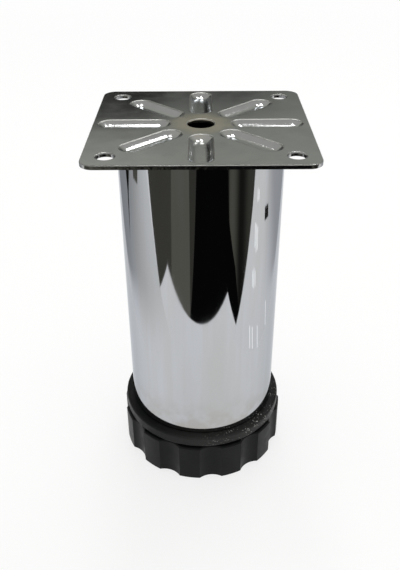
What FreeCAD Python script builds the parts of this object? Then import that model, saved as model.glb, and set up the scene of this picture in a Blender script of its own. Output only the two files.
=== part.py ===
import FreeCAD, Part
import math
import os
import Sketcher

# Adjustable cabinet leg in millimetres. The floor is Z = 0 and the tube's axis is Z.
# The model is at rest: the levelling foot is screwed fully home.

SIZES = (
    ("leg_height", 120, "floor to the top of the plate"),
    ("levelling_travel", 15, "how far the foot screws out"),
    ("plate_width", 64, "side of the square plate"),
    ("plate_thickness", 1.2, "sheet thickness"),
    ("plate_corner", 4, "corner radius in plan"),
    ("plate_edge_round", 0.25, "rolled upper edge of the blank"),
    ("screw_margin", 6.5, "plate's edge to the middle of a screw hole"),
    ("screw_hole", 5, "diameter of a screw hole"),
    ("centre_hole", 8, "diameter of the hole in the middle"),
    ("punch_round", 0.4, "edge that the punch draws into a hole"),
    ("groove_count", 8, "pressed grooves round the plate"),
    ("groove_start", 9, "axis to a groove's inner tip"),
    ("groove_margin", 1.7, "groove's outer tip to the nearest edge"),
    ("groove_width", 7.0, "width of a groove at the top face"),
    ("groove_floor", 3.4, "width of a groove at its floor before rounding"),
    ("groove_depth", 1.5, "depth of a groove"),
    ("shoulder_round", 0.8, "radius where the top face turns down into a groove"),
    ("shoulder_bend", 0.5, "radius where the underside turns down into a rib"),
    ("floor_bend", 3.0, "radius of a groove's rounded floor"),
    ("tube_diameter", 50.8, "outside of the tube"),
    ("tube_wall", 1.0, "wall of the tube"),
    ("tube_deburr", 0.2, "chamfer on the tube's outer edges"),
    ("flange_overhang", 2.6, "insert flange past the tube"),
    ("flange_height", 4.0, "insert flange below the tube"),
    ("flange_upper_round", 0.9, "radius on the flange's upper edge"),
    ("flange_lower_round", 0.7, "radius on the flange's lower edge"),
    ("plug_length", 18, "insert inside the tube"),
    ("plug_wall", 2.0, "wall of the plug"),
    ("fin_count", 3, "sealing fins round the plug"),
    ("fin_depth", 0.9, "plug wall to the tube"),
    ("fin_clearance", 0.05, "fin tip to the tube"),
    ("fin_tip", 1.0, "height of a fin at its tip"),
    ("fin_root", 2.4, "height of a fin at the plug"),
    ("fin_first", 3.0, "tube end to the first fin"),
    ("fin_pitch", 5.0, "from fin to fin"),
    ("web_thickness", 3.0, "disc that closes the insert"),
    ("insert_hub_wall", 3.0, "plastic outside the nut's corners"),
    ("insert_hub_roof", 3.0, "plastic above the nut"),
    ("insert_rib_count", 6, "ribs between hub and plug"),
    ("insert_rib", 2.0, "thickness of those ribs"),
    ("thread_diameter", 10, "outside of the thread"),
    ("thread_clearance", 0.05, "stud to nut, and to the foot"),
    ("roof_clearance", 0.4, "stud to the hole above the nut"),
    ("nut_flats", 17, "nut across its flats"),
    ("nut_height", 8, "height of the nut"),
    ("nut_recess", 0.6, "nut above the insert's underside"),
    ("nut_clearance", 0.05, "nut to its pocket"),
    ("nut_bevel", 30, "slope of the nut's corner bevel in degrees"),
    ("stud_head", 16, "diameter of the stud's head"),
    ("stud_head_height", 5, "height of the stud's head"),
    ("stud_overrun", 1.0, "stud above the nut with the foot out"),
    ("stud_bevel", 1.2, "chamfer on the stud's upper end"),
    ("knob_height", 14.4, "height of the foot's fluted wall"),
    ("knob_overhang", 0.7, "foot's lobes past the flange"),
    ("knob_gap", 0.6, "foot's wall to the flange at rest"),
    ("stop_clearance", 0.1, "stop pad to the insert at rest"),
    ("knob_top", 2.6, "thickness of the foot's upper disc"),
    ("knob_wall", 2.4, "foot's wall behind a flute"),
    ("knob_floor", 2.0, "plastic under the stud's head"),
    ("knob_hub_wall", 4.8, "plastic round the stud's head"),
    ("knob_rib_count", 6, "ribs between hub and wall"),
    ("knob_rib", 1.8, "thickness of those ribs"),
    ("knob_rib_recess", 1.0, "those ribs above the floor"),
    ("knob_bevel", 0.4, "chamfer on the foot's outer edges"),
    ("flute_count", 12, "thumb flutes round the foot"),
    ("flute_depth", 1.5, "depth of a flute"),
    ("flute_radius", 6.7, "radius of a flute"),
    ("flute_turn", 6.0, "first flute from the front in degrees"),
)

# Heights and radii that several pieces share, from the floor up.
PLATE_UNDERSIDE = "(dims.leg_height - dims.plate_thickness)"
TUBE_TOP = f"({PLATE_UNDERSIDE} - dims.groove_depth)"
FLANGE_UNDERSIDE = "(dims.knob_height + dims.knob_gap)"
TUBE_END = f"({FLANGE_UNDERSIDE} + dims.flange_height)"
NUT_UNDERSIDE = f"({FLANGE_UNDERSIDE} + dims.nut_recess)"
NUT_TOP = f"({NUT_UNDERSIDE} + dims.nut_height)"
STUD_TOP = f"({NUT_TOP} + dims.levelling_travel + dims.stud_overrun)"
TUBE_RADIUS = "(dims.tube_diameter / 2)"
TUBE_BORE = f"({TUBE_RADIUS} - dims.tube_wall)"
THREAD_RADIUS = "(dims.thread_diameter / 2)"
FLANGE_RADIUS = f"({TUBE_RADIUS} + dims.flange_overhang)"
NUT_CORNER = "(dims.nut_flats / sqrt(3))"
INSERT_HUB = f"({NUT_CORNER} + dims.nut_clearance + dims.insert_hub_wall)"
KNOB_RADIUS = f"({FLANGE_RADIUS} + dims.knob_overhang)"

FULL_TURN = 360
SQUARE_CORNERS = "4"
SAME_PLACE = 1e-6

doc = FreeCAD.newDocument("cabinet_leg")
dims = doc.addObject("Spreadsheet::Sheet", "dims")
for row, (alias, value, meaning) in enumerate(SIZES, start=1):
    dims.set(f"A{row}", meaning)
    dims.set(f"B{row}", str(value))
    dims.setAlias(f"B{row}", alias)
doc.recompute()


def number(text):
    """Value of an expression that uses the sheet."""
    return float(dims.evalExpression(text))


def new_body(label):
    body = doc.addObject("PartDesign::Body", label)
    body.Label = label
    return body


def origin_feature(body, role):
    return next(item for item in body.Origin.OriginFeatures if item.Role == role)


def new_sketch(body, name, role="XY_Plane", height=None):
    """Empty sketch on one of the body's own planes, raised where a height is given."""
    sketch = body.newObject("Sketcher::SketchObject", name)
    sketch.AttachmentSupport = (origin_feature(body, role), [""])
    sketch.MapMode = "FlatFace"
    if height:
        sketch.setExpression("AttachmentOffset.Base.z", height)
    return sketch


def bind(sketch, constraint, text):
    """Add a sketch constraint and tie its value to the sheet."""
    index = sketch.addConstraint(constraint)
    sketch.setExpression(f"Constraints[{index}]", text)


def pin_point(sketch, shape, vertex, across, up):
    """Hold one vertex of a sketch at two expressions, measured from the sketch's origin."""
    for kind, axis, text in (("DistanceX", -2, across), ("DistanceY", -1, up)):
        if text == "0":
            sketch.addConstraint(Sketcher.Constraint("PointOnObject", shape, vertex, axis))
        else:
            bind(sketch, Sketcher.Constraint(kind, -1, 1, shape, vertex, number(text)), text)


def draw_polygon(sketch, corners):
    """Closed outline of straight lines through corners given as pairs of expressions."""
    points = [FreeCAD.Vector(number(across), number(up), 0) for across, up in corners]
    following = points[1:] + points[:1]
    lines = [sketch.addGeometry(Part.LineSegment(a, b), False) for a, b in zip(points, following)]
    for line, after in zip(lines, lines[1:] + lines[:1]):
        sketch.addConstraint(Sketcher.Constraint("Coincident", line, 2, after, 1))
    for line, (across, up) in zip(lines, corners):
        pin_point(sketch, line, 1, across, up)


def draw_spoke(sketch, near, far, half_width):
    """Bar along X, from one distance from the axis to another."""
    draw_polygon(sketch, (
        (near, f"-{half_width}"),
        (far, f"-{half_width}"),
        (far, half_width),
        (near, half_width),
    ))


def draw_hexagon(sketch, half_flats):
    """Hexagon about the origin with two corners on X, from half its width across flats."""
    corner = f"2 * ({half_flats}) / sqrt(3)"
    beside = f"({half_flats}) / sqrt(3)"
    draw_polygon(sketch, (
        (corner, "0"),
        (beside, half_flats),
        (f"-({beside})", half_flats),
        (f"-({corner})", "0"),
        (f"-({beside})", f"-({half_flats})"),
        (beside, f"-({half_flats})"),
    ))


def draw_circle(sketch, radius, across="0", up="0"):
    centre = FreeCAD.Vector(number(across), number(up), 0)
    circle = sketch.addGeometry(Part.Circle(centre, FreeCAD.Vector(0, 0, 1), number(radius)), False)
    pin_point(sketch, circle, 3, across, up)
    bind(sketch, Sketcher.Constraint("Radius", circle, number(radius)), radius)


def draw_slot(sketch, near, far, radius):
    """Slot along X with round ends, from the centre of one end to the centre of the other."""
    size = number(radius)
    up = FreeCAD.Vector(0, 0, 1)
    first = FreeCAD.Vector(number(near), 0, 0)
    last = FreeCAD.Vector(number(far), 0, 0)
    side = FreeCAD.Vector(0, size, 0)
    quarter = math.pi / 2
    left = sketch.addGeometry(Part.ArcOfCircle(Part.Circle(first, up, size), quarter, 3 * quarter), False)
    lower = sketch.addGeometry(Part.LineSegment(first - side, last - side), False)
    right = sketch.addGeometry(Part.ArcOfCircle(Part.Circle(last, up, size), -quarter, quarter), False)
    upper = sketch.addGeometry(Part.LineSegment(last + side, first + side), False)
    ring = (left, lower, right, upper)
    for item, after in zip(ring, ring[1:] + ring[:1]):
        sketch.addConstraint(Sketcher.Constraint("Tangent", item, 2, after, 1))
    pin_point(sketch, left, 3, near, "0")
    pin_point(sketch, right, 3, far, "0")
    bind(sketch, Sketcher.Constraint("Radius", left, size), radius)


def extrude(body, sketch, name, length, kind="PartDesign::Pad", reverse=False, draft=None):
    """Pad or Pocket of a sketch. A draft narrows it as it goes."""
    feature = body.newObject(kind, name)
    feature.Profile = sketch
    feature.Reversed = reverse
    feature.setExpression("Length", length)
    if draft:
        feature.setExpression("TaperAngle", f"-({draft})")
    doc.recompute()
    return feature


def revolve(body, sketch, name, kind="PartDesign::Revolution"):
    """Full turn of a sketch about the tube's axis."""
    feature = body.newObject(kind, name)
    feature.Profile = sketch
    feature.ReferenceAxis = (sketch, ["V_Axis"])
    feature.Angle = FULL_TURN
    doc.recompute()
    return feature


def polar(body, originals, name, count):
    """Copies of features, evenly spaced round the tube's axis."""
    pattern = body.newObject("PartDesign::PolarPattern", name)
    pattern.Originals = originals
    pattern.Axis = (origin_feature(body, "Z_Axis"), [""])
    pattern.Angle = FULL_TURN
    pattern.setExpression("Occurrences", count)
    body.Tip = pattern
    doc.recompute()
    return pattern


def soften(body, name, edges, size, kind="PartDesign::Fillet"):
    """Fillet or Chamfer on edges of the body as it stands."""
    base = body.Tip
    names = [f"Edge{n}" for n, e in enumerate(base.Shape.Edges, start=1) if any(e.isSame(x) for x in edges)]
    feature = body.newObject(kind, name)
    feature.Base = (base, names)
    feature.setExpression("Radius" if kind.endswith("Fillet") else "Size", size)
    doc.recompute()
    return feature


def level_faces(body, height):
    """Flat faces of the body at one height."""
    level = number(height)
    flat = [f for f in body.Tip.Shape.Faces if isinstance(f.Surface, Part.Plane)]
    return [f for f in flat if max(abs(v.Z - level) for v in f.Vertexes) < SAME_PLACE]


def face_edges(faces):
    return [edge for face in faces for edge in face.Edges]


def inner_edges(face):
    """Edges of the holes in a face."""
    wires = [w for w in face.Wires if not w.isSame(face.OuterWire)]
    return [edge for wire in wires for edge in wire.Edges]


def ring_edges(body, radius, height):
    """Round edges of the body at one radius and height."""
    size = number(radius)
    level = number(height)
    found = []
    for edge in body.Tip.Shape.Edges:
        if isinstance(edge.Curve, Part.Circle) and abs(edge.Curve.Center.z - level) < SAME_PLACE:
            if abs(edge.Curve.Radius - size) < SAME_PLACE:
                found.append(edge)
    return found


def make_plate():
    """Square sheet with pressed grooves, each of them a rib below."""
    body = new_body("mounting_plate")
    outline = new_sketch(body, "plate_outline", height=PLATE_UNDERSIDE)
    to_edge = "dims.plate_width / 2"
    draw_polygon(outline, (
        (f"-{to_edge}", f"-{to_edge}"),
        (to_edge, f"-{to_edge}"),
        (to_edge, to_edge),
        (f"-{to_edge}", to_edge),
    ))
    sheet = extrude(body, outline, "plate_sheet", "dims.plate_thickness")
    upright = [e for e in sheet.Shape.Edges if abs(e.Vertexes[0].Z - e.Vertexes[1].Z) > SAME_PLACE]
    soften(body, "plate_corners", upright, "dims.plate_corner")
    rim = level_faces(body, "dims.leg_height")[0].OuterWire.Edges
    soften(body, "plate_edge", rim, "dims.plate_edge_round")

    screw_place = f"{to_edge} - dims.screw_margin"
    to_screw = f"({screw_place}) * sqrt(2) - dims.screw_hole / 2"
    half_width = "dims.groove_width / 2"
    near = f"dims.groove_start + {half_width}"
    far = f"min({to_edge}; {to_screw}) - dims.groove_margin - {half_width}"
    draft = "atan((dims.groove_width - dims.groove_floor) / 2 / dims.groove_depth)"
    bend_shift = f"dims.plate_thickness * tan((90 deg - {draft}) / 2)"
    rib_sketch = new_sketch(body, "rib_outline", height=PLATE_UNDERSIDE)
    draw_slot(rib_sketch, near, far, f"{half_width} + {bend_shift}")
    rib = extrude(body, rib_sketch, "rib", "dims.groove_depth", reverse=True, draft=draft)
    groove_sketch = new_sketch(body, "groove_outline", height="dims.leg_height")
    draw_slot(groove_sketch, near, far, half_width)
    groove = extrude(body, groove_sketch, "groove", "dims.groove_depth", "PartDesign::Pocket", draft=draft)
    polar(body, [rib, groove], "groove_star", "dims.groove_count")

    bend = inner_edges(level_faces(body, PLATE_UNDERSIDE)[0])
    soften(body, "shoulder_inside", bend, "dims.shoulder_bend")
    bend = face_edges(level_faces(body, "dims.leg_height - dims.groove_depth"))
    soften(body, "floor_inside", bend, "dims.floor_bend")
    bend = inner_edges(level_faces(body, "dims.leg_height")[0])
    soften(body, "shoulder_outside", bend, "dims.shoulder_round")
    bend = face_edges(level_faces(body, TUBE_TOP))
    soften(body, "floor_outside", bend, "dims.floor_bend + dims.plate_thickness")

    screw_sketch = new_sketch(body, "screw_hole_outline", height="dims.leg_height")
    draw_circle(screw_sketch, "dims.screw_hole / 2", screw_place, screw_place)
    screw_hole = extrude(body, screw_sketch, "screw_hole", "dims.plate_thickness", "PartDesign::Pocket")
    polar(body, [screw_hole], "screw_holes", SQUARE_CORNERS)
    centre_sketch = new_sketch(body, "centre_hole_outline", height="dims.leg_height")
    draw_circle(centre_sketch, "dims.centre_hole / 2")
    extrude(body, centre_sketch, "centre_hole", "dims.plate_thickness", "PartDesign::Pocket")
    rims = [
        edge for edge in inner_edges(level_faces(body, "dims.leg_height")[0])
        if isinstance(edge.Curve, Part.Circle) and len(edge.Vertexes) == 1
    ]
    soften(body, "punched_rims", rims, "dims.punch_round")
    return body


def make_tube():
    """Tube whose upper rim is welded to the plate's ribs."""
    body = new_body("leg_tube")
    section = new_sketch(body, "tube_section", height=TUBE_END)
    draw_circle(section, TUBE_RADIUS)
    draw_circle(section, TUBE_BORE)
    extrude(body, section, "tube_wall", f"{TUBE_TOP} - {TUBE_END}")
    rims = ring_edges(body, TUBE_RADIUS, TUBE_END) + ring_edges(body, TUBE_RADIUS, TUBE_TOP)
    soften(body, "tube_deburr", rims, "dims.tube_deburr", "PartDesign::Chamfer")
    return body


def make_insert():
    """Plug with a flange under the tube's end, fins against its bore and a hub round the nut."""
    body = new_body("tube_insert")
    plug_radius = f"{TUBE_BORE} - dims.fin_depth"
    inside = f"{plug_radius} - dims.plug_wall"
    stud_hole = f"{THREAD_RADIUS} + dims.roof_clearance"
    web_top = f"{FLANGE_UNDERSIDE} + dims.web_thickness"
    hub_top = f"{NUT_TOP} + dims.nut_clearance + dims.insert_hub_roof"
    plug_top = f"{TUBE_END} + dims.plug_length"
    profile = new_sketch(body, "insert_profile", "XZ_Plane")
    draw_polygon(profile, (
        (stud_hole, FLANGE_UNDERSIDE),
        (FLANGE_RADIUS, FLANGE_UNDERSIDE),
        (FLANGE_RADIUS, TUBE_END),
        (plug_radius, TUBE_END),
        (plug_radius, plug_top),
        (inside, plug_top),
        (inside, web_top),
        (INSERT_HUB, web_top),
        (INSERT_HUB, hub_top),
        (stud_hole, hub_top),
    ))
    revolve(body, profile, "insert_shell")
    upper = ring_edges(body, FLANGE_RADIUS, TUBE_END)
    soften(body, "flange_upper_edge", upper, "dims.flange_upper_round")
    lower = ring_edges(body, FLANGE_RADIUS, FLANGE_UNDERSIDE)
    soften(body, "flange_lower_edge", lower, "dims.flange_lower_round")

    fin_foot = f"{TUBE_END} + dims.fin_first"
    fin_slope = "(dims.fin_root - dims.fin_tip) / 2"
    fin_radius = f"{TUBE_BORE} - dims.fin_clearance"
    fin_inside = f"{plug_radius} - dims.plug_wall / 2"
    fin_profile = new_sketch(body, "fin_profile", "XZ_Plane")
    draw_polygon(fin_profile, (
        (fin_inside, fin_foot),
        (plug_radius, fin_foot),
        (fin_radius, f"{fin_foot} + {fin_slope}"),
        (fin_radius, f"{fin_foot} + {fin_slope} + dims.fin_tip"),
        (plug_radius, f"{fin_foot} + dims.fin_root"),
        (fin_inside, f"{fin_foot} + dims.fin_root"),
    ))
    fin = revolve(body, fin_profile, "fin")
    fins = body.newObject("PartDesign::LinearPattern", "fins")
    fins.Originals = [fin]
    fins.Direction = (origin_feature(body, "Z_Axis"), [""])
    fins.setExpression("Occurrences", "dims.fin_count")
    fins.setExpression("Length", "dims.fin_pitch * (dims.fin_count - 1)")
    body.Tip = fins
    doc.recompute()

    rib_sketch = new_sketch(body, "insert_rib_outline", height=web_top)
    rib_near = f"{INSERT_HUB} - dims.insert_hub_wall / 2"
    rib_far = f"{inside} + dims.plug_wall / 2"
    draw_spoke(rib_sketch, rib_near, rib_far, "dims.insert_rib / 2")
    rib = extrude(body, rib_sketch, "insert_rib", f"{hub_top} - ({web_top})")
    polar(body, [rib], "insert_ribs", "dims.insert_rib_count")

    pocket_sketch = new_sketch(body, "nut_pocket_outline", height=FLANGE_UNDERSIDE)
    draw_hexagon(pocket_sketch, "dims.nut_flats / 2 + dims.nut_clearance")
    depth = "dims.nut_recess + dims.nut_height + dims.nut_clearance"
    extrude(body, pocket_sketch, "nut_pocket", depth, "PartDesign::Pocket", reverse=True)
    return body


def make_nut():
    """Hexagon nut with bevelled corners. Its bore clears the outside of the thread."""
    body = new_body("insert_nut")
    outline = new_sketch(body, "nut_outline", height=NUT_UNDERSIDE)
    draw_hexagon(outline, "dims.nut_flats / 2")
    extrude(body, outline, "nut_block", "dims.nut_height")
    bore = new_sketch(body, "nut_bore_outline", height=NUT_TOP)
    draw_circle(bore, f"{THREAD_RADIUS} + dims.thread_clearance")
    extrude(body, bore, "nut_bore", "dims.nut_height", "PartDesign::Pocket")
    flat = "dims.nut_flats / 2"
    beyond = f"{NUT_CORNER} * 2 - {flat}"
    drop = f"({beyond} - {flat}) * tan(dims.nut_bevel * 1 deg)"
    for name, face, toward in (("upper", NUT_TOP, "-"), ("lower", NUT_UNDERSIDE, "+")):
        bevel = new_sketch(body, f"{name}_bevel_profile", "XZ_Plane")
        draw_polygon(bevel, ((flat, face), (beyond, face), (beyond, f"{face} {toward} {drop}")))
        revolve(body, bevel, f"{name}_bevel", "PartDesign::Groove")
    return body


def make_stud():
    """Stud whose round head is held in the foot."""
    body = new_body("levelling_stud")
    head_foot = "dims.knob_floor + dims.thread_clearance"
    head_top = f"{head_foot} + dims.stud_head_height"
    profile = new_sketch(body, "stud_profile", "XZ_Plane")
    draw_polygon(profile, (
        ("0", head_foot),
        ("dims.stud_head / 2", head_foot),
        ("dims.stud_head / 2", head_top),
        (THREAD_RADIUS, head_top),
        (THREAD_RADIUS, f"{STUD_TOP} - dims.stud_bevel"),
        (f"{THREAD_RADIUS} - dims.stud_bevel", STUD_TOP),
        ("0", STUD_TOP),
    ))
    revolve(body, profile, "stud_turned")
    return body


def make_knob():
    """Fluted foot: an upper disc, a wall and ribs, with a hub round the stud's head."""
    body = new_body("foot_knob")
    outline = new_sketch(body, "knob_outline")
    draw_circle(outline, KNOB_RADIUS)
    extrude(body, outline, "knob_block", "dims.knob_height")
    flute_sketch = new_sketch(body, "flute_outline", height="dims.knob_height")
    reach = f"({KNOB_RADIUS} - dims.flute_depth + dims.flute_radius)"
    turn = "dims.flute_turn * 1 deg"
    draw_circle(flute_sketch, "dims.flute_radius", f"{reach} * sin({turn})", f"-{reach} * cos({turn})")
    flute = extrude(body, flute_sketch, "flute", "dims.knob_height", "PartDesign::Pocket")
    polar(body, [flute], "flutes", "dims.flute_count")
    rims = level_faces(body, "0")[0].Edges + level_faces(body, "dims.knob_height")[0].Edges
    soften(body, "knob_edges", rims, "dims.knob_bevel", "PartDesign::Chamfer")

    inside = f"{KNOB_RADIUS} - dims.flute_depth - dims.knob_wall"
    hub = "dims.stud_head / 2 + dims.thread_clearance + dims.knob_hub_wall"
    ceiling = "dims.knob_height - dims.knob_top"
    hollow = new_sketch(body, "hollow_profile", "XZ_Plane")
    draw_polygon(hollow, ((hub, "0"), (inside, "0"), (inside, ceiling), (hub, ceiling)))
    revolve(body, hollow, "hollow", "PartDesign::Groove")
    rib_sketch = new_sketch(body, "knob_rib_outline", height=ceiling)
    rib_near = f"{hub} - dims.knob_hub_wall / 2"
    rib_far = f"{inside} + dims.knob_wall / 2"
    draw_spoke(rib_sketch, rib_near, rib_far, "dims.knob_rib / 2")
    rib = extrude(body, rib_sketch, "knob_rib", f"{ceiling} - dims.knob_rib_recess", reverse=True)
    polar(body, [rib], "knob_ribs", "dims.knob_rib_count")

    pad = new_sketch(body, "stop_pad_outline", height="dims.knob_height")
    draw_circle(pad, INSERT_HUB)
    extrude(body, pad, "stop_pad", "dims.knob_gap - dims.stop_clearance")
    head_space = "dims.stud_head / 2 + dims.thread_clearance"
    shank_space = f"{THREAD_RADIUS} + dims.thread_clearance"
    head_top = "dims.knob_floor + dims.stud_head_height + 2 * dims.thread_clearance"
    seat = new_sketch(body, "stud_seat_profile", "XZ_Plane")
    draw_polygon(seat, (
        ("0", "dims.knob_floor"),
        (head_space, "dims.knob_floor"),
        (head_space, head_top),
        (shank_space, head_top),
        (shank_space, FLANGE_UNDERSIDE),
        ("0", FLANGE_UNDERSIDE),
    ))
    revolve(body, seat, "stud_seat", "PartDesign::Groove")
    return body


def check_document(bodies):
    """Stop before anything is written if a feature failed or a piece isn't one sound solid."""
    for item in doc.Objects:
        if "Invalid" in item.State or "Error" in item.State:
            raise RuntimeError(f"{item.Label} failed: {item.State}")
    for body in bodies:
        shape = body.Shape
        if shape.isNull() or not shape.isValid() or len(shape.Solids) != 1:
            raise RuntimeError(f"{body.Label} is not one valid solid")


pieces = [make_plate(), make_tube(), make_insert(), make_nut(), make_stud(), make_knob()]
doc.recompute()
check_document(pieces)
os.makedirs("parts", exist_ok=True)
for piece in pieces:
    piece.Shape.exportStep(f"parts/{piece.Label}.step")
    print(piece.Label, round(piece.Shape.Volume, 1), piece.Shape.BoundBox)
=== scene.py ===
"""Looks of the adjustable cabinet leg: bright plating, moulded plastic, a cut thread and a small studio."""

import math

import bmesh
import bpy
from mathutils import Matrix, Vector


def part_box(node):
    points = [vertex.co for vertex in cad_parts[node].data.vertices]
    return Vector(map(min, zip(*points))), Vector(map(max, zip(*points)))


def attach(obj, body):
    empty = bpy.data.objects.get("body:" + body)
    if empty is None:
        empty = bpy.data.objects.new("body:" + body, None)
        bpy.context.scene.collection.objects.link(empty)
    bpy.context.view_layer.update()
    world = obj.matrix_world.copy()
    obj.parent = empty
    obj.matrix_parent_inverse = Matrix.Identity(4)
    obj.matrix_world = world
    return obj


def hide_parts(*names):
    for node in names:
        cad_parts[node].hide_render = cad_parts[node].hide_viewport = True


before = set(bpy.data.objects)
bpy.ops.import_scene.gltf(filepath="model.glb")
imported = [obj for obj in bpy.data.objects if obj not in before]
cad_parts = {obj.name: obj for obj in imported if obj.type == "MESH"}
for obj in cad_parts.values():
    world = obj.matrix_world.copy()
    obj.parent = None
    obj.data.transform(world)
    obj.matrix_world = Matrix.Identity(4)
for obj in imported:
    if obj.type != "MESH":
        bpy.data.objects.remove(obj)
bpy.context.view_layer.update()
scene = bpy.context.scene
scene.view_settings.view_transform = "Standard"

MM = 0.001

# Camera, fitted to the plate, the tube and the foot in the 400 x 570 photograph
FRAME_HEIGHT = 570
FOCAL_PIXELS = 684
SENSOR_MM = 36
CAMERA_PLACE = Vector((0.0, -196.4, 188.43)) * MM
CAMERA_DOWN = math.radians(32.52)
CAMERA_PAN = math.radians(0.162)
CAMERA_ROLL = math.radians(-0.326)
CAMERA_NEAR = 10 * MM

# Floor, sky and lamps
WHITE = (1, 1, 1, 1)
FLOOR_SIZE = 40.0
FLOOR_COLOUR = (0.92, 0.92, 0.92, 1)
FLOOR_GLOW = 0.75
FLOOR_NEAR = 0.15
FLOOR_FAR = 1.2
SKY_GREY = (0.48, 0.48, 0.46, 1)
SKY_LOW = math.sin(math.radians(8))
SKY_HIGH = math.sin(math.radians(20))
LAMP_AIM = Vector((0, 0, 0.12))
STRIP_BRIGHTNESS = 9.0
OVERHEAD_BRIGHTNESS = 1.6
LEFT_STRIP = ((-0.062, 0.594, 0.832), (-0.018, 0.173, 1.105))
LEFT_STRIP_WIDTH = 0.13
RIGHT_STRIP = ((0.123, 0.635, 0.745), (0.384, 0.426, 0.94))
RIGHT_STRIP_WIDTH = 0.12
OVERHEAD = ((-0.7, 0, 1.6), (0.7, 0, 1.6))
OVERHEAD_WIDTH = 1.4

# Cards outside the camera's view that only mirror-like surfaces see, in metres on the floor
CARD_LIFT = 0.5 * MM
MARK_LIFT = 2 * CARD_LIFT
ROOM = 4.0
CARD_FRONT = -0.075
DARK_FRONT = -0.115
BLACK_LEFT = -0.031
BLACK_STEP = 0.080
LEFT_STEP = -0.119
LEFT_FAR = (-ROOM, -0.39)
RIGHT_NEAR = (0.22, CARD_FRONT)
RIGHT_FAR = (ROOM, -0.37)
BLACK_EDGE = ((0.095, CARD_FRONT), (0.116, -0.114), (0.129, -0.174), (0.166, -0.239), (2.07, -ROOM))
SHADE_EDGE = ((-0.074, -0.271), (-1.12, -ROOM))
OLIVE_EDGE = ((-0.097, DARK_FRONT), (-0.144, -0.174), (-2.75, -ROOM))
OLIVE = (0.136, 0.134, 0.111, 1)
OLIVE_DARK = (0.067, 0.065, 0.054, 1)
OLIVE_SHADE = (0.050, 0.048, 0.0405, 1)
BLACK = (0.003, 0.003, 0.003, 1)
NIGHT = (0.012, 0.012, 0.010, 1)
DIM_GREY = (0.105, 0.103, 0.087, 1)

# Directions, in radians about the leg, over which the right front card pales, darkens and pales again
PALE_START = (-0.99, -0.90)
PALE_END = (-0.86, -0.66)
PALE_AGAIN = (-0.62, -0.40)
PALE_AGAIN_SHARE = 0.5

# Grey side cards, which begin where the camera's view ends and fade in from the floor's own tone
VIEW_SIDE = 0.086
VIEW_SPREAD = 0.2464
FLOOR_SEEN = (0.97, 0.97, 0.97, 1)
FADE_FRONT = 0.06
FADE_BACK = 0.012
FADE_CHANGE = (0, 0.1)
LEFT_CARD = (0.85, 0.855, 0.84, 1)
LEFT_CARD_FAR = (0.42, 0.427, 0.434, 1)
LEFT_CHANGE = (-0.10, 0.12)
RIGHT_CARD = (0.98, 0.98, 0.96, 1)
RIGHT_CARD_FAR = (0.55, 0.55, 0.555, 1)
RIGHT_CHANGE = (-0.01, 0.11)

# Small cards on the side cards
BOX_MARK = ((0.203, 0.014), (0.222, 0.014), (0.222, 0.042), (0.203, 0.042))
ROD_MARK = ((-0.285, 0.093), (-0.26, 0.15), (-0.215, 0.108), (-0.155, 0.076), (-0.218, 0.096))
SHADE_MARK = ((-0.30, 0.0), (-0.30, 0.055), (-0.262, 0.05), (-0.258, 0.01))
GLINT = (1.6, 1.6, 1.6, 1)
GLINT_ANGLE = math.radians(1.2)

# Bright strips: direction in degrees about the leg, nearest and farthest reach from its axis
STRIPS = (
    (-11.2, 0.234, 0.254),
    (-9.2, 0.236, 0.252),
    (-14.2, 0.176, 0.206),
    (-12.0, 0.170, 0.204),
    (-9.8, 0.172, 0.200),
    (-17.2, 0.136, 0.152),
    (-15.0, 0.134, 0.154),
    (-12.6, 0.135, 0.150),
    (-21.7, 0.086, 0.103),
    (-17.0, 0.084, 0.101),
    (-7.3, 0.082, 0.099),
    (11.2, 0.093, 0.114),
)

# Grey card that stands behind the leg, with a dark band, darkest on the left and with a paler part above
WALL_PLACE = 0.8
WALL_LOW = 0.02
WALL_HIGH = 0.9
WALL_HALF = 1.0
WALL_GREY = (0.40, 0.405, 0.36, 1)
WALL_PALE = (0.48, 0.485, 0.435, 1)
WALL_DARK = (0.028, 0.028, 0.025, 1)
BAND_TOP = (0.345, 0.415)
BAND_SHARE = 0.9
BAND_RIGHT = (0.05, 0.14)
BAND_RIGHT_SHARE = 0.5
BAND_LEFT = (-0.10, -0.04)
BAND_LEFT_TOP = (0.398, 0.412)
BAND_LEFT_SHARE = 0.9
BAND_FOOT = (0.18, 0.27)
BAND_FOOT_SHARE = 0.6
WALL_PALE_LEFT = (-0.10, -0.03)
WALL_PALE_FOOT = (0.408, 0.422)

# Thread
THREAD_RADIUS = 5 * MM
THREAD_PITCH = 1.5 * MM
THREAD_DEPTH = 0.92 * MM
THREAD_STEPS = 40
CREST_SHARE = 1 / 8
ROOT_SHARE = 3 / 4
RUN_OUT_STEPS = 20
HEAD_HEIGHT = 5 * MM
HEAD_BEVEL = 0.6 * MM
STUD_BEVEL = 1.2 * MM
TURNED_STEPS = 96
SHARP_ANGLE = math.radians(25)

# Uneven patches: their size, and the noise values at which they begin and are full
SMUDGES = (9 * MM, 0.35, 0.75)
PLATING_GLOSS = (5 * MM, 0.3, 0.8)
STREAKS = (2.2 * MM, 0.4, 0.7)
FILM_PATCHES = (6 * MM, 0.35, 0.65)
PLASTIC_CLOUDS = (6 * MM, 0.35, 0.7)
PLASTIC_GLOSS = (3 * MM, 0.3, 0.75)
SPECKS = (0.55 * MM, 0.60, 0.68)
SPECK_GROUPS = (3 * MM, 0.40, 0.6)
ZINC_PATCHES = (3 * MM, 0.35, 0.7)
ZINC_GLOSS = (1 * MM, 0.3, 0.75)

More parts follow.
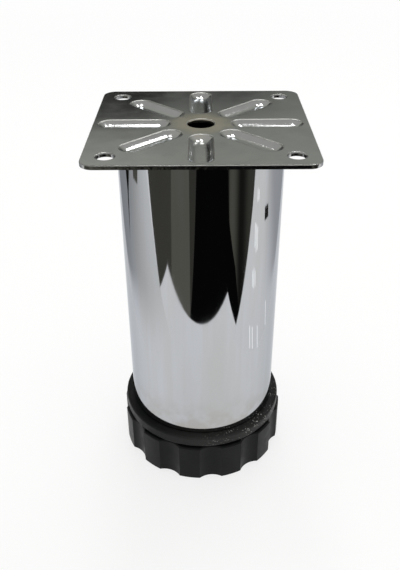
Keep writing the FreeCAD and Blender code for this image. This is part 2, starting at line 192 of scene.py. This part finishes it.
# Plating
CHROME = (0.54, 0.545, 0.545, 1)
COOL_CHROME = (0.515, 0.53, 0.565, 1)
CHROME_SMUDGE = (0.49, 0.495, 0.50, 1)
CHROME_EDGE = (0.70, 0.72, 0.75, 1)
PLATE_ROUGHNESS = (0.11, 0.16)
TUBE_ROUGHNESS = (0.03, 0.07)
TUBE_STRETCH = 6
STREAK_STRETCH = 25
STREAK_SHARE = 0.6

# Plate: heat tint round the hole, dulled shoulders darkened with painted shade that hides their highlight,
# grain where it is pressed, dents along the rim
HEAT_TINT = (0.70, 0.655, 0.55, 1)
TINT_REACH = (8 * MM, 14 * MM)
TINT_WANDER = 5 * MM
TINT_WANDER_SIZE = 4 * MM
TINT_ROUGHNESS = 0.1
SHOULDER_TOP = (0.005 * MM, 0.03 * MM)
SHOULDER_FOOT = (0.17 * MM, 0.25 * MM)
SHOULDER_ROUGHNESS = 0.25
# Painted shade on the groove shoulders
SHOULDER_PAINTED_SHADE = (0.29, 0.29, 0.28, 1)
PRESSED_DROP = (0.02 * MM, 0.2 * MM)
GRAIN = 1.6
GRAIN_SIZE = 0.6 * MM
RIM_WIDTH = 0.3 * MM
RIM_DENTS = 6
RIM_DENT_SIZE = 1.4 * MM
WAVE_SIZE = 11 * MM
PLATE_BUMP = 0.02 * MM

# Tube: dull film, and a near-black line of painted shade along its lower end, where it meets the collar
FILM = (0.42, 0.41, 0.39, 1)
FILM_REACH = (19 * MM, 36 * MM)
FILM_SHARE = 0.9
FILM_LEAST = 0.1
JOINT_SHADE = (0.02, 0.02, 0.016, 1)
JOINT_SHADE_HEIGHT = 0.6 * MM

# Plastic and zinc
PLASTIC = (0.006, 0.0068, 0.0066, 1)
PLASTIC_PALE = (0.009, 0.010, 0.0096, 1)
PLASTIC_ROUGHNESS = (0.34, 0.46)
PLASTIC_SPECULAR = 0.115
PLASTIC_BUMP = 0.008 * MM
PLASTIC_GRAIN_SIZE = 0.3 * MM
DUST = (0.45, 0.45, 0.43, 1)
DUST_FILM = (0.023, 0.024, 0.023, 1)
DUST_FILM_X = (-18 * MM, 0)
DUST_FILM_Y = (-24 * MM, -8 * MM)
SPECKS_X = (-4 * MM, 16 * MM)
SPECKS_Y = (-8 * MM, 6 * MM)
ZINC = (0.60, 0.60, 0.57, 1)
ZINC_DULL = (0.45, 0.46, 0.46, 1)
ZINC_ROUGHNESS = (0.28, 0.42)


def new_tree(name):
    """A node material with its surface shader and object coordinates."""
    material = bpy.data.materials.new(name)
    material.use_nodes = True
    tree = material.node_tree
    shader = tree.nodes["Principled BSDF"]
    place = tree.nodes.new("ShaderNodeTexCoord").outputs["Object"]
    return material, tree, shader, place


def noise(tree, place, size, detail=3.0, stretch=1.0):
    """Noise whose features are about size metres across, and stretch times that along Z."""
    squeeze = tree.nodes.new("ShaderNodeVectorMath")
    squeeze.operation = "MULTIPLY"
    squeeze.inputs[1].default_value = (1, 1, 1 / stretch)
    tree.links.new(place, squeeze.inputs[0])
    node = tree.nodes.new("ShaderNodeTexNoise")
    node.inputs["Scale"].default_value = 1 / size
    node.inputs["Detail"].default_value = detail
    tree.links.new(squeeze.outputs["Vector"], node.inputs["Vector"])
    return node.outputs["Fac"]


def spread(tree, value, from_low, from_high, to_low=0.0, to_high=1.0):
    """Maps a range of values smoothly on to another and clamps it."""
    node = tree.nodes.new("ShaderNodeMapRange")
    node.interpolation_type = "SMOOTHSTEP"
    node.inputs["From Min"].default_value = from_low
    node.inputs["From Max"].default_value = from_high
    node.inputs["To Min"].default_value = to_low
    node.inputs["To Max"].default_value = to_high
    tree.links.new(value, node.inputs["Value"])
    return node.outputs["Result"]


def patches(tree, place, kind, to_low=0.0, to_high=1.0, detail=3.0, stretch=1.0):
    """Uneven patches of one kind, mapped on to a range of values."""
    size, begin, full = kind
    return spread(tree, noise(tree, place, size, detail, stretch), begin, full, to_low, to_high)


def blend_colour(tree, factor, first, second):
    """Mixes two colours, each a socket or a constant, by a factor socket."""
    node = tree.nodes.new("ShaderNodeMix")
    node.data_type = "RGBA"
    tree.links.new(factor, node.inputs["Factor"])
    # Several sockets share a name, so those for colours are picked by number
    for socket, colour in ((node.inputs[6], first), (node.inputs[7], second)):
        if isinstance(colour, tuple):
            socket.default_value = colour
        else:
            tree.links.new(colour, socket)
    return node.outputs[2]


def reckon(tree, kind, first, second):
    """One arithmetic step on two sockets or numbers."""
    node = tree.nodes.new("ShaderNodeMath")
    node.operation = kind
    for socket, value in zip(node.inputs, (first, second)):
        if isinstance(value, (int, float)):
            socket.default_value = value
        else:
            tree.links.new(value, socket)
    return node.outputs["Value"]


def times(tree, first, second):
    """Product of two sockets or numbers."""
    return reckon(tree, "MULTIPLY", first, second)


def plus(tree, first, second):
    """Sum of two sockets or numbers."""
    return reckon(tree, "ADD", first, second)


def size_of(tree, value):
    """A socket's value without its sign."""
    return reckon(tree, "ABSOLUTE", value, 0)


def split(tree, place):
    """The X, Y and Z sockets of a vector."""
    node = tree.nodes.new("ShaderNodeSeparateXYZ")
    tree.links.new(place, node.inputs["Vector"])
    return node.outputs["X"], node.outputs["Y"], node.outputs["Z"]


def axis_distance(tree, place):
    """Distance of a point from the leg's axis."""
    x, y, z = split(tree, place)
    squares = plus(tree, times(tree, x, x), times(tree, y, y))
    return reckon(tree, "POWER", squares, 0.5)


def bump(tree, shader, height, depth):
    """Feeds a height socket to the shader's normal, depth metres deep."""
    node = tree.nodes.new("ShaderNodeBump")
    node.inputs["Distance"].default_value = depth
    tree.links.new(height, node.inputs["Height"])
    tree.links.new(node.outputs["Normal"], shader.inputs["Normal"])


def make_chrome(name, bright, roughness, stretch=1.0):
    """Bright plating with faint smudges. Gives the material, its parts and its colour and roughness."""
    material, tree, shader, place = new_tree(name)
    smudge = patches(tree, place, SMUDGES, stretch=stretch)
    colour = blend_colour(tree, smudge, bright, CHROME_SMUDGE)
    gloss = patches(tree, place, PLATING_GLOSS, *roughness, stretch=stretch)
    shader.inputs["Metallic"].default_value = 1
    shader.inputs["Specular Tint"].default_value = CHROME_EDGE
    return material, tree, shader, place, colour, gloss


def make_plate_chrome(name):
    """Plating of the pressed plate."""
    material, tree, shader, place, colour, gloss = make_chrome(name, CHROME, PLATE_ROUGHNESS)
    wander = times(tree, noise(tree, place, TINT_WANDER_SIZE), TINT_WANDER)
    tint = spread(tree, plus(tree, axis_distance(tree, place), wander), *TINT_REACH, 1, 0)
    colour = blend_colour(tree, tint, colour, HEAT_TINT)
    gloss = plus(tree, gloss, times(tree, tint, TINT_ROUGHNESS))
    x, y, z = split(tree, place)
    low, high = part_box("mounting_plate")
    drop = reckon(tree, "SUBTRACT", high.z, z)
    # Painted shade: the groove shoulders are made rougher and darker, which hides the highlight their bend
    # would catch
    dulled_shoulder_and_shade = times(tree, spread(tree, drop, *SHOULDER_TOP), spread(tree, drop, *SHOULDER_FOOT, 1, 0))
    gloss = plus(tree, gloss, times(tree, dulled_shoulder_and_shade, SHOULDER_ROUGHNESS))
    colour = blend_colour(tree, dulled_shoulder_and_shade, colour, SHOULDER_PAINTED_SHADE)
    pressed = spread(tree, drop, *PRESSED_DROP)
    grain = times(tree, times(tree, pressed, noise(tree, place, GRAIN_SIZE)), GRAIN)
    outward = reckon(tree, "MAXIMUM", size_of(tree, x), size_of(tree, y))
    rim = spread(tree, outward, high.x - RIM_WIDTH, high.x)
    dents = times(tree, times(tree, rim, noise(tree, place, RIM_DENT_SIZE)), RIM_DENTS)
    wave = noise(tree, place, WAVE_SIZE, detail=1)
    bump(tree, shader, plus(tree, plus(tree, wave, dents), grain), PLATE_BUMP)
    tree.links.new(colour, shader.inputs["Base Color"])
    tree.links.new(gloss, shader.inputs["Roughness"])
    return material


def make_tube_chrome(name):
    """Plating of the drawn tube, streaked along its length."""
    plating = make_chrome(name, COOL_CHROME, TUBE_ROUGHNESS, TUBE_STRETCH)
    material, tree, shader, place, colour, gloss = plating
    streak = patches(tree, place, STREAKS, 0, STREAK_SHARE, stretch=STREAK_STRETCH)
    colour = blend_colour(tree, streak, colour, CHROME_SMUDGE)
    x, y, z = split(tree, place)
    patch = patches(tree, place, FILM_PATCHES, FILM_LEAST, 1)
    film = times(tree, patch, spread(tree, z, *FILM_REACH, FILM_SHARE, 0))
    colour = blend_colour(tree, film, colour, FILM)
    low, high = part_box("leg_tube")
    # Painted shade: the lowest 0.6 mm of the tube goes near-black, for the dark gap where it sits on the
    # collar
    joint_shade = spread(tree, z, low.z + JOINT_SHADE_HEIGHT / 2, low.z + JOINT_SHADE_HEIGHT, 1, 0)
    tree.links.new(blend_colour(tree, joint_shade, colour, JOINT_SHADE), shader.inputs["Base Color"])
    tree.links.new(gloss, shader.inputs["Roughness"])
    return material


def make_plastic(name, dusty=False):
    """Satin black moulding with a fine grain, and if dusty a film in front and specks on the right."""
    material, tree, shader, place = new_tree(name)
    cloud = patches(tree, place, PLASTIC_CLOUDS)
    colour = blend_colour(tree, cloud, PLASTIC, PLASTIC_PALE)
    if dusty:
        x, y, z = split(tree, place)
        film = times(tree, spread(tree, x, *DUST_FILM_X), spread(tree, y, *DUST_FILM_Y, 1, 0))
        colour = blend_colour(tree, film, colour, DUST_FILM)
        side = times(tree, spread(tree, x, *SPECKS_X), spread(tree, y, *SPECKS_Y, 1, 0))
        specks = patches(tree, place, SPECKS, detail=2)
        groups = patches(tree, place, SPECK_GROUPS)
        colour = blend_colour(tree, times(tree, specks, times(tree, side, groups)), colour, DUST)
    tree.links.new(colour, shader.inputs["Base Color"])
    gloss = patches(tree, place, PLASTIC_GLOSS, *PLASTIC_ROUGHNESS)
    tree.links.new(gloss, shader.inputs["Roughness"])
    shader.inputs["Specular IOR Level"].default_value = PLASTIC_SPECULAR
    bump(tree, shader, noise(tree, place, PLASTIC_GRAIN_SIZE), PLASTIC_BUMP)
    return material


def make_zinc(name):
    """Zinc plating on steel, dull and slightly uneven."""
    material, tree, shader, place = new_tree(name)
    patch = patches(tree, place, ZINC_PATCHES)
    tree.links.new(blend_colour(tree, patch, ZINC, ZINC_DULL), shader.inputs["Base Color"])
    gloss = patches(tree, place, ZINC_GLOSS, *ZINC_ROUGHNESS)
    tree.links.new(gloss, shader.inputs["Roughness"])
    shader.inputs["Metallic"].default_value = 1
    return material


def finish_node(node, material):
    """Gives a CAD node one material."""
    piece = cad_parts[node]
    piece.data.materials.clear()
    piece.data.materials.append(material)


def on_circle(radius, angle, height):
    """A point round the leg's axis."""
    return radius * math.cos(angle), radius * math.sin(angle), height


def join_rows(mesh, first, second):
    """Quads between two closed rows of vertices."""
    for near, far in zip(range(len(first)), [*range(1, len(first)), 0]):
        mesh.faces.new((first[near], first[far], second[far], second[near]))


def turn_solid(mesh, profile):
    """Adds a turned solid, from (radius, height) points listed upwards."""
    angles = [2 * math.pi * n / TURNED_STEPS for n in range(TURNED_STEPS)]
    rows = [[mesh.verts.new(on_circle(r, a, z)) for a in angles] for r, z in profile]
    mesh.faces.new(reversed(rows[0]))
    mesh.faces.new(rows[-1])
    for first, second in zip(rows, rows[1:]):
        join_rows(mesh, first, second)


def wind_thread(mesh, bottom, top):
    """Adds the ridge of a right-hand thread that fades out at both ends."""
    root = THREAD_RADIUS - THREAD_DEPTH
    sunk = root - THREAD_DEPTH / 4
    half_root = THREAD_PITCH * ROOT_SHARE / 2
    half_crest = THREAD_PITCH * CREST_SHARE / 2
    count = int((top - bottom - 2 * half_root) / THREAD_PITCH * THREAD_STEPS)
    rows = []
    for step in range(count + 1):
        angle = 2 * math.pi * step / THREAD_STEPS
        middle = bottom + half_root + THREAD_PITCH * step / THREAD_STEPS
        grown = min(1, step / RUN_OUT_STEPS, (count - step) / RUN_OUT_STEPS)
        crest = root + THREAD_DEPTH * grown
        section = (
            (sunk, middle - half_root),
            (crest, middle - half_crest),
            (crest, middle + half_crest),
            (sunk, middle + half_root),
        )
        rows.append([mesh.verts.new(on_circle(r, angle, z)) for r, z in section])
    mesh.faces.new(rows[0])
    mesh.faces.new(reversed(rows[-1]))
    for first, second in zip(rows, rows[1:]):
        join_rows(mesh, second, first)


def make_stud(material):
    """The levelling stud with its thread cut."""
    low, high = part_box("levelling_stud")
    root = THREAD_RADIUS - THREAD_DEPTH
    head = high.x
    neck = low.z + HEAD_HEIGHT
    mesh = bmesh.new()
    turn_solid(mesh, (
        (head - HEAD_BEVEL, low.z),
        (head, low.z + HEAD_BEVEL),
        (head, neck - HEAD_BEVEL),
        (head - HEAD_BEVEL, neck),
        (root, neck),
        (root, high.z - STUD_BEVEL / 2),
        (root - STUD_BEVEL / 2, high.z),
    ))
    wind_thread(mesh, neck, high.z - STUD_BEVEL)
    data = bpy.data.meshes.new("threaded_stud")
    mesh.to_mesh(data)
    mesh.free()
    data.shade_smooth()
    data.set_sharp_from_angle(angle=SHARP_ANGLE)
    data.materials.append(material)
    stud = bpy.data.objects.new("threaded_stud", data)
    scene.collection.objects.link(stud)
    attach(stud, "stud")
    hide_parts("levelling_stud")


def stage_sheet(name, corners):
    """One flat polygon of the stage, from corners in metres. It goes down with the foot."""
    mesh = bpy.data.meshes.new(name)
    mesh.from_pydata(corners, [], [tuple(range(len(corners)))])
    piece = bpy.data.objects.new(name, mesh)
    scene.collection.objects.link(piece)
    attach(piece, "stud")
    return piece


def make_floor():
    """A floor that the camera, plating and clear things see as white, with the leg's shadow kept."""
    half = FLOOR_SIZE / 2
    floor = stage_sheet("floor", ((-half, -half, 0), (half, -half, 0), (half, half, 0), (-half, half, 0)))
    material, tree, shader, place = new_tree("floor_white")
    shader.inputs["Base Color"].default_value = FLOOR_COLOUR
    shader.inputs["Roughness"].default_value = 1
    shader.inputs["Specular IOR Level"].default_value = 0
    ray = tree.nodes.new("ShaderNodeLightPath").outputs
    seen = plus(tree, ray["Is Camera Ray"], ray["Is Glossy Ray"])
    seen = plus(tree, seen, ray["Is Transmission Ray"])
    glow_share = spread(tree, axis_distance(tree, place), FLOOR_NEAR, FLOOR_FAR, FLOOR_GLOW, 1)
    share = times(tree, reckon(tree, "MINIMUM", seen, 1), glow_share)
    glow = tree.nodes.new("ShaderNodeEmission")
    mixed = tree.nodes.new("ShaderNodeMixShader")
    tree.links.new(share, mixed.inputs["Fac"])
    tree.links.new(shader.outputs["BSDF"], mixed.inputs[1])
    tree.links.new(glow.outputs["Emission"], mixed.inputs[2])
    tree.links.new(mixed.outputs["Shader"], tree.nodes["Material Output"].inputs["Surface"])
    floor.data.materials.append(material)


def make_card(name, corners, colour=WHITE):
    """A glowing card that only mirror-like surfaces see. Gives its node tree, glow and coordinates."""
    card = stage_sheet(name, corners)
    material, tree, shader, place = new_tree(name)
    tree.nodes.remove(shader)
    glow = tree.nodes.new("ShaderNodeEmission")
    glow.inputs["Color"].default_value = colour
    tree.links.new(glow.outputs["Emission"], tree.nodes["Material Output"].inputs["Surface"])
    card.data.materials.append(material)
    card.visible_camera = False
    card.visible_diffuse = False
    card.visible_shadow = False
    card.visible_transmission = False
    return tree, glow, place


def floor_card(name, corners, colour=WHITE, lift=CARD_LIFT):
    """A card that lies on the floor, from (x, y) corners."""
    return make_card(name, [(x, y, lift) for x, y in corners], colour)


def make_front_cards():
    """Dark cards in front of the leg, side by side from the left to the right."""
    inner = (BLACK_LEFT, DARK_FRONT)
    floor_card("front_left", (
        (LEFT_STEP, CARD_FRONT), (LEFT_STEP, DARK_FRONT), *OLIVE_EDGE, (-ROOM, -ROOM), LEFT_FAR,
    ), OLIVE_DARK)
    floor_card("front_olive", (inner, *SHADE_EDGE, *reversed(OLIVE_EDGE)), OLIVE)
    floor_card("front_shade", (inner, (BLACK_LEFT, -ROOM), *reversed(SHADE_EDGE)), OLIVE_SHADE)
    floor_card("front_black", (
        inner, (BLACK_STEP, DARK_FRONT), (BLACK_STEP, CARD_FRONT), *BLACK_EDGE, (BLACK_LEFT, -ROOM),
    ), BLACK)
    tree, glow, place = floor_card("front_right", (
        RIGHT_NEAR, RIGHT_FAR, (ROOM, -ROOM), *reversed(BLACK_EDGE),
    ))
    x, y, z = split(tree, place)
    turn = reckon(tree, "ARCTAN2", y, x)
    pale = times(tree, spread(tree, turn, *PALE_START), spread(tree, turn, *PALE_END, 1, 0))
    pale = plus(tree, pale, spread(tree, turn, *PALE_AGAIN, 0, PALE_AGAIN_SHARE))
    tree.links.new(blend_colour(tree, pale, NIGHT, DIM_GREY), glow.inputs["Color"])


def make_side_card(name, side, near, far, change):
    """A grey card beside the camera's view, which goes from near to far over the change in Y."""
    corners = [(side * (VIEW_SIDE + VIEW_SPREAD * y), y) for y in (CARD_FRONT, ROOM)]
    corners += [(side * ROOM, y) for y in (ROOM, CARD_FRONT)]
    tree, glow, place = floor_card(name, corners)
    x, y, z = split(tree, place)
    edge = plus(tree, times(tree, y, VIEW_SPREAD), VIEW_SIDE)
    beyond = reckon(tree, "SUBTRACT", size_of(tree, x), edge)
    fade = spread(tree, y, *FADE_CHANGE, FADE_FRONT, FADE_BACK)
    share = spread(tree, reckon(tree, "DIVIDE", beyond, fade), 0, 1)
    tone = blend_colour(tree, spread(tree, y, *change), near, far)
    tree.links.new(blend_colour(tree, share, FLOOR_SEEN, tone), glow.inputs["Color"])


def make_marks():
    """Small marks that show in the tube: a dark box, a dark rod, a shade and bright strips."""
    floor_card("box_mark", BOX_MARK, NIGHT, MARK_LIFT)
    floor_card("rod_mark", ROD_MARK, NIGHT, MARK_LIFT)
    floor_card("shade_mark", SHADE_MARK, DIM_GREY, MARK_LIFT)
    for number, (degrees, near, far) in enumerate(STRIPS):
        first = math.radians(degrees)
        last = first + GLINT_ANGLE
        reach = ((near, first), (far, first), (far, last), (near, last))
        corners = [(radius * math.cos(angle), radius * math.sin(angle)) for radius, angle in reach]
        floor_card(f"strip_mark_{number}", corners, GLINT, MARK_LIFT)


def make_back_wall():
    """A grey card that stands behind the leg, out of the camera's sight."""
    tree, glow, place = make_card("back_wall", (
        (-WALL_HALF, WALL_PLACE, WALL_LOW),
        (WALL_HALF, WALL_PLACE, WALL_LOW),
        (WALL_HALF, WALL_PLACE, WALL_HIGH),
        (-WALL_HALF, WALL_PLACE, WALL_HIGH),
    ))
    x, y, z = split(tree, place)
    band = spread(tree, z, *BAND_TOP, BAND_SHARE, 0)
    band = times(tree, band, spread(tree, x, *BAND_RIGHT, 1, BAND_RIGHT_SHARE))
    left = spread(tree, x, *BAND_LEFT, BAND_LEFT_SHARE, 0)
    left = times(tree, left, spread(tree, z, *BAND_LEFT_TOP, 1, 0))
    dark = reckon(tree, "MINIMUM", plus(tree, band, left), 1)
    dark = times(tree, dark, spread(tree, z, *BAND_FOOT, BAND_FOOT_SHARE, 1))
    pale = times(tree, spread(tree, x, *WALL_PALE_LEFT, 1, 0), spread(tree, z, *WALL_PALE_FOOT))
    grey = blend_colour(tree, pale, WALL_GREY, WALL_PALE)
    tree.links.new(blend_colour(tree, dark, grey, WALL_DARK), glow.inputs["Color"])


def make_world():
    """White at the horizon and pale grey above, as on a studio sweep."""
    world = bpy.data.worlds.new("studio")
    world.use_nodes = True
    scene.world = world
    tree = world.node_tree
    place = tree.nodes.new("ShaderNodeTexCoord").outputs["Generated"]
    x, y, z = split(tree, place)
    rise = spread(tree, z, SKY_LOW, SKY_HIGH)
    tree.links.new(blend_colour(tree, rise, WHITE, SKY_GREY), tree.nodes["Background"].inputs["Color"])


def make_lamp(name, ends, width, brightness):
    """A soft strip of a given surface brightness between two ends, aimed at the plate."""
    start, end = (Vector(point) for point in ends)
    middle = (start + end) / 2
    along = (end - start).normalized()
    back = middle - LAMP_AIM
    back = (back - along * back.dot(along)).normalized()
    light = bpy.data.lights.new(name, "AREA")
    light.shape = "RECTANGLE"
    light.size = (end - start).length
    light.size_y = width
    light.energy = brightness * math.pi * light.size * light.size_y
    lamp = bpy.data.objects.new(name, light)
    lamp.location = middle
    lamp.rotation_euler = Matrix((along, back.cross(along), back)).transposed().to_euler()
    lamp.visible_camera = False
    scene.collection.objects.link(lamp)
    return lamp


def make_camera():
    """The photograph's camera."""
    data = bpy.data.cameras.new("camera")
    data.sensor_width = SENSOR_MM
    data.lens = FOCAL_PIXELS / FRAME_HEIGHT * SENSOR_MM
    data.clip_start = CAMERA_NEAR
    camera = bpy.data.objects.new("camera", data)
    tilt = Matrix.Rotation(math.pi / 2 - CAMERA_DOWN, 3, "X")
    turn = Matrix.Rotation(CAMERA_PAN, 3, "Z") @ tilt @ Matrix.Rotation(CAMERA_ROLL, 3, "Z")
    camera.rotation_euler = turn.to_euler()
    camera.location = CAMERA_PLACE
    scene.collection.objects.link(camera)
    scene.camera = camera


zinc = make_zinc("zinc_steel")
finish_node("mounting_plate", make_plate_chrome("plate_chrome"))
finish_node("leg_tube", make_tube_chrome("tube_chrome"))
finish_node("tube_insert", make_plastic("collar_black", dusty=True))
finish_node("foot_knob", make_plastic("knob_black"))
finish_node("insert_nut", zinc)
make_stud(zinc)

make_floor()
make_world()
make_front_cards()
make_side_card("left_flag", -1, LEFT_CARD, LEFT_CARD_FAR, LEFT_CHANGE)
make_side_card("right_flag", 1, RIGHT_CARD, RIGHT_CARD_FAR, RIGHT_CHANGE)
make_marks()
make_back_wall()
make_lamp("left_strip", LEFT_STRIP, LEFT_STRIP_WIDTH, STRIP_BRIGHTNESS)
make_lamp("right_strip", RIGHT_STRIP, RIGHT_STRIP_WIDTH, STRIP_BRIGHTNESS)
overhead = make_lamp("overhead", OVERHEAD, OVERHEAD_WIDTH, OVERHEAD_BRIGHTNESS)
overhead.visible_glossy = False
make_camera()
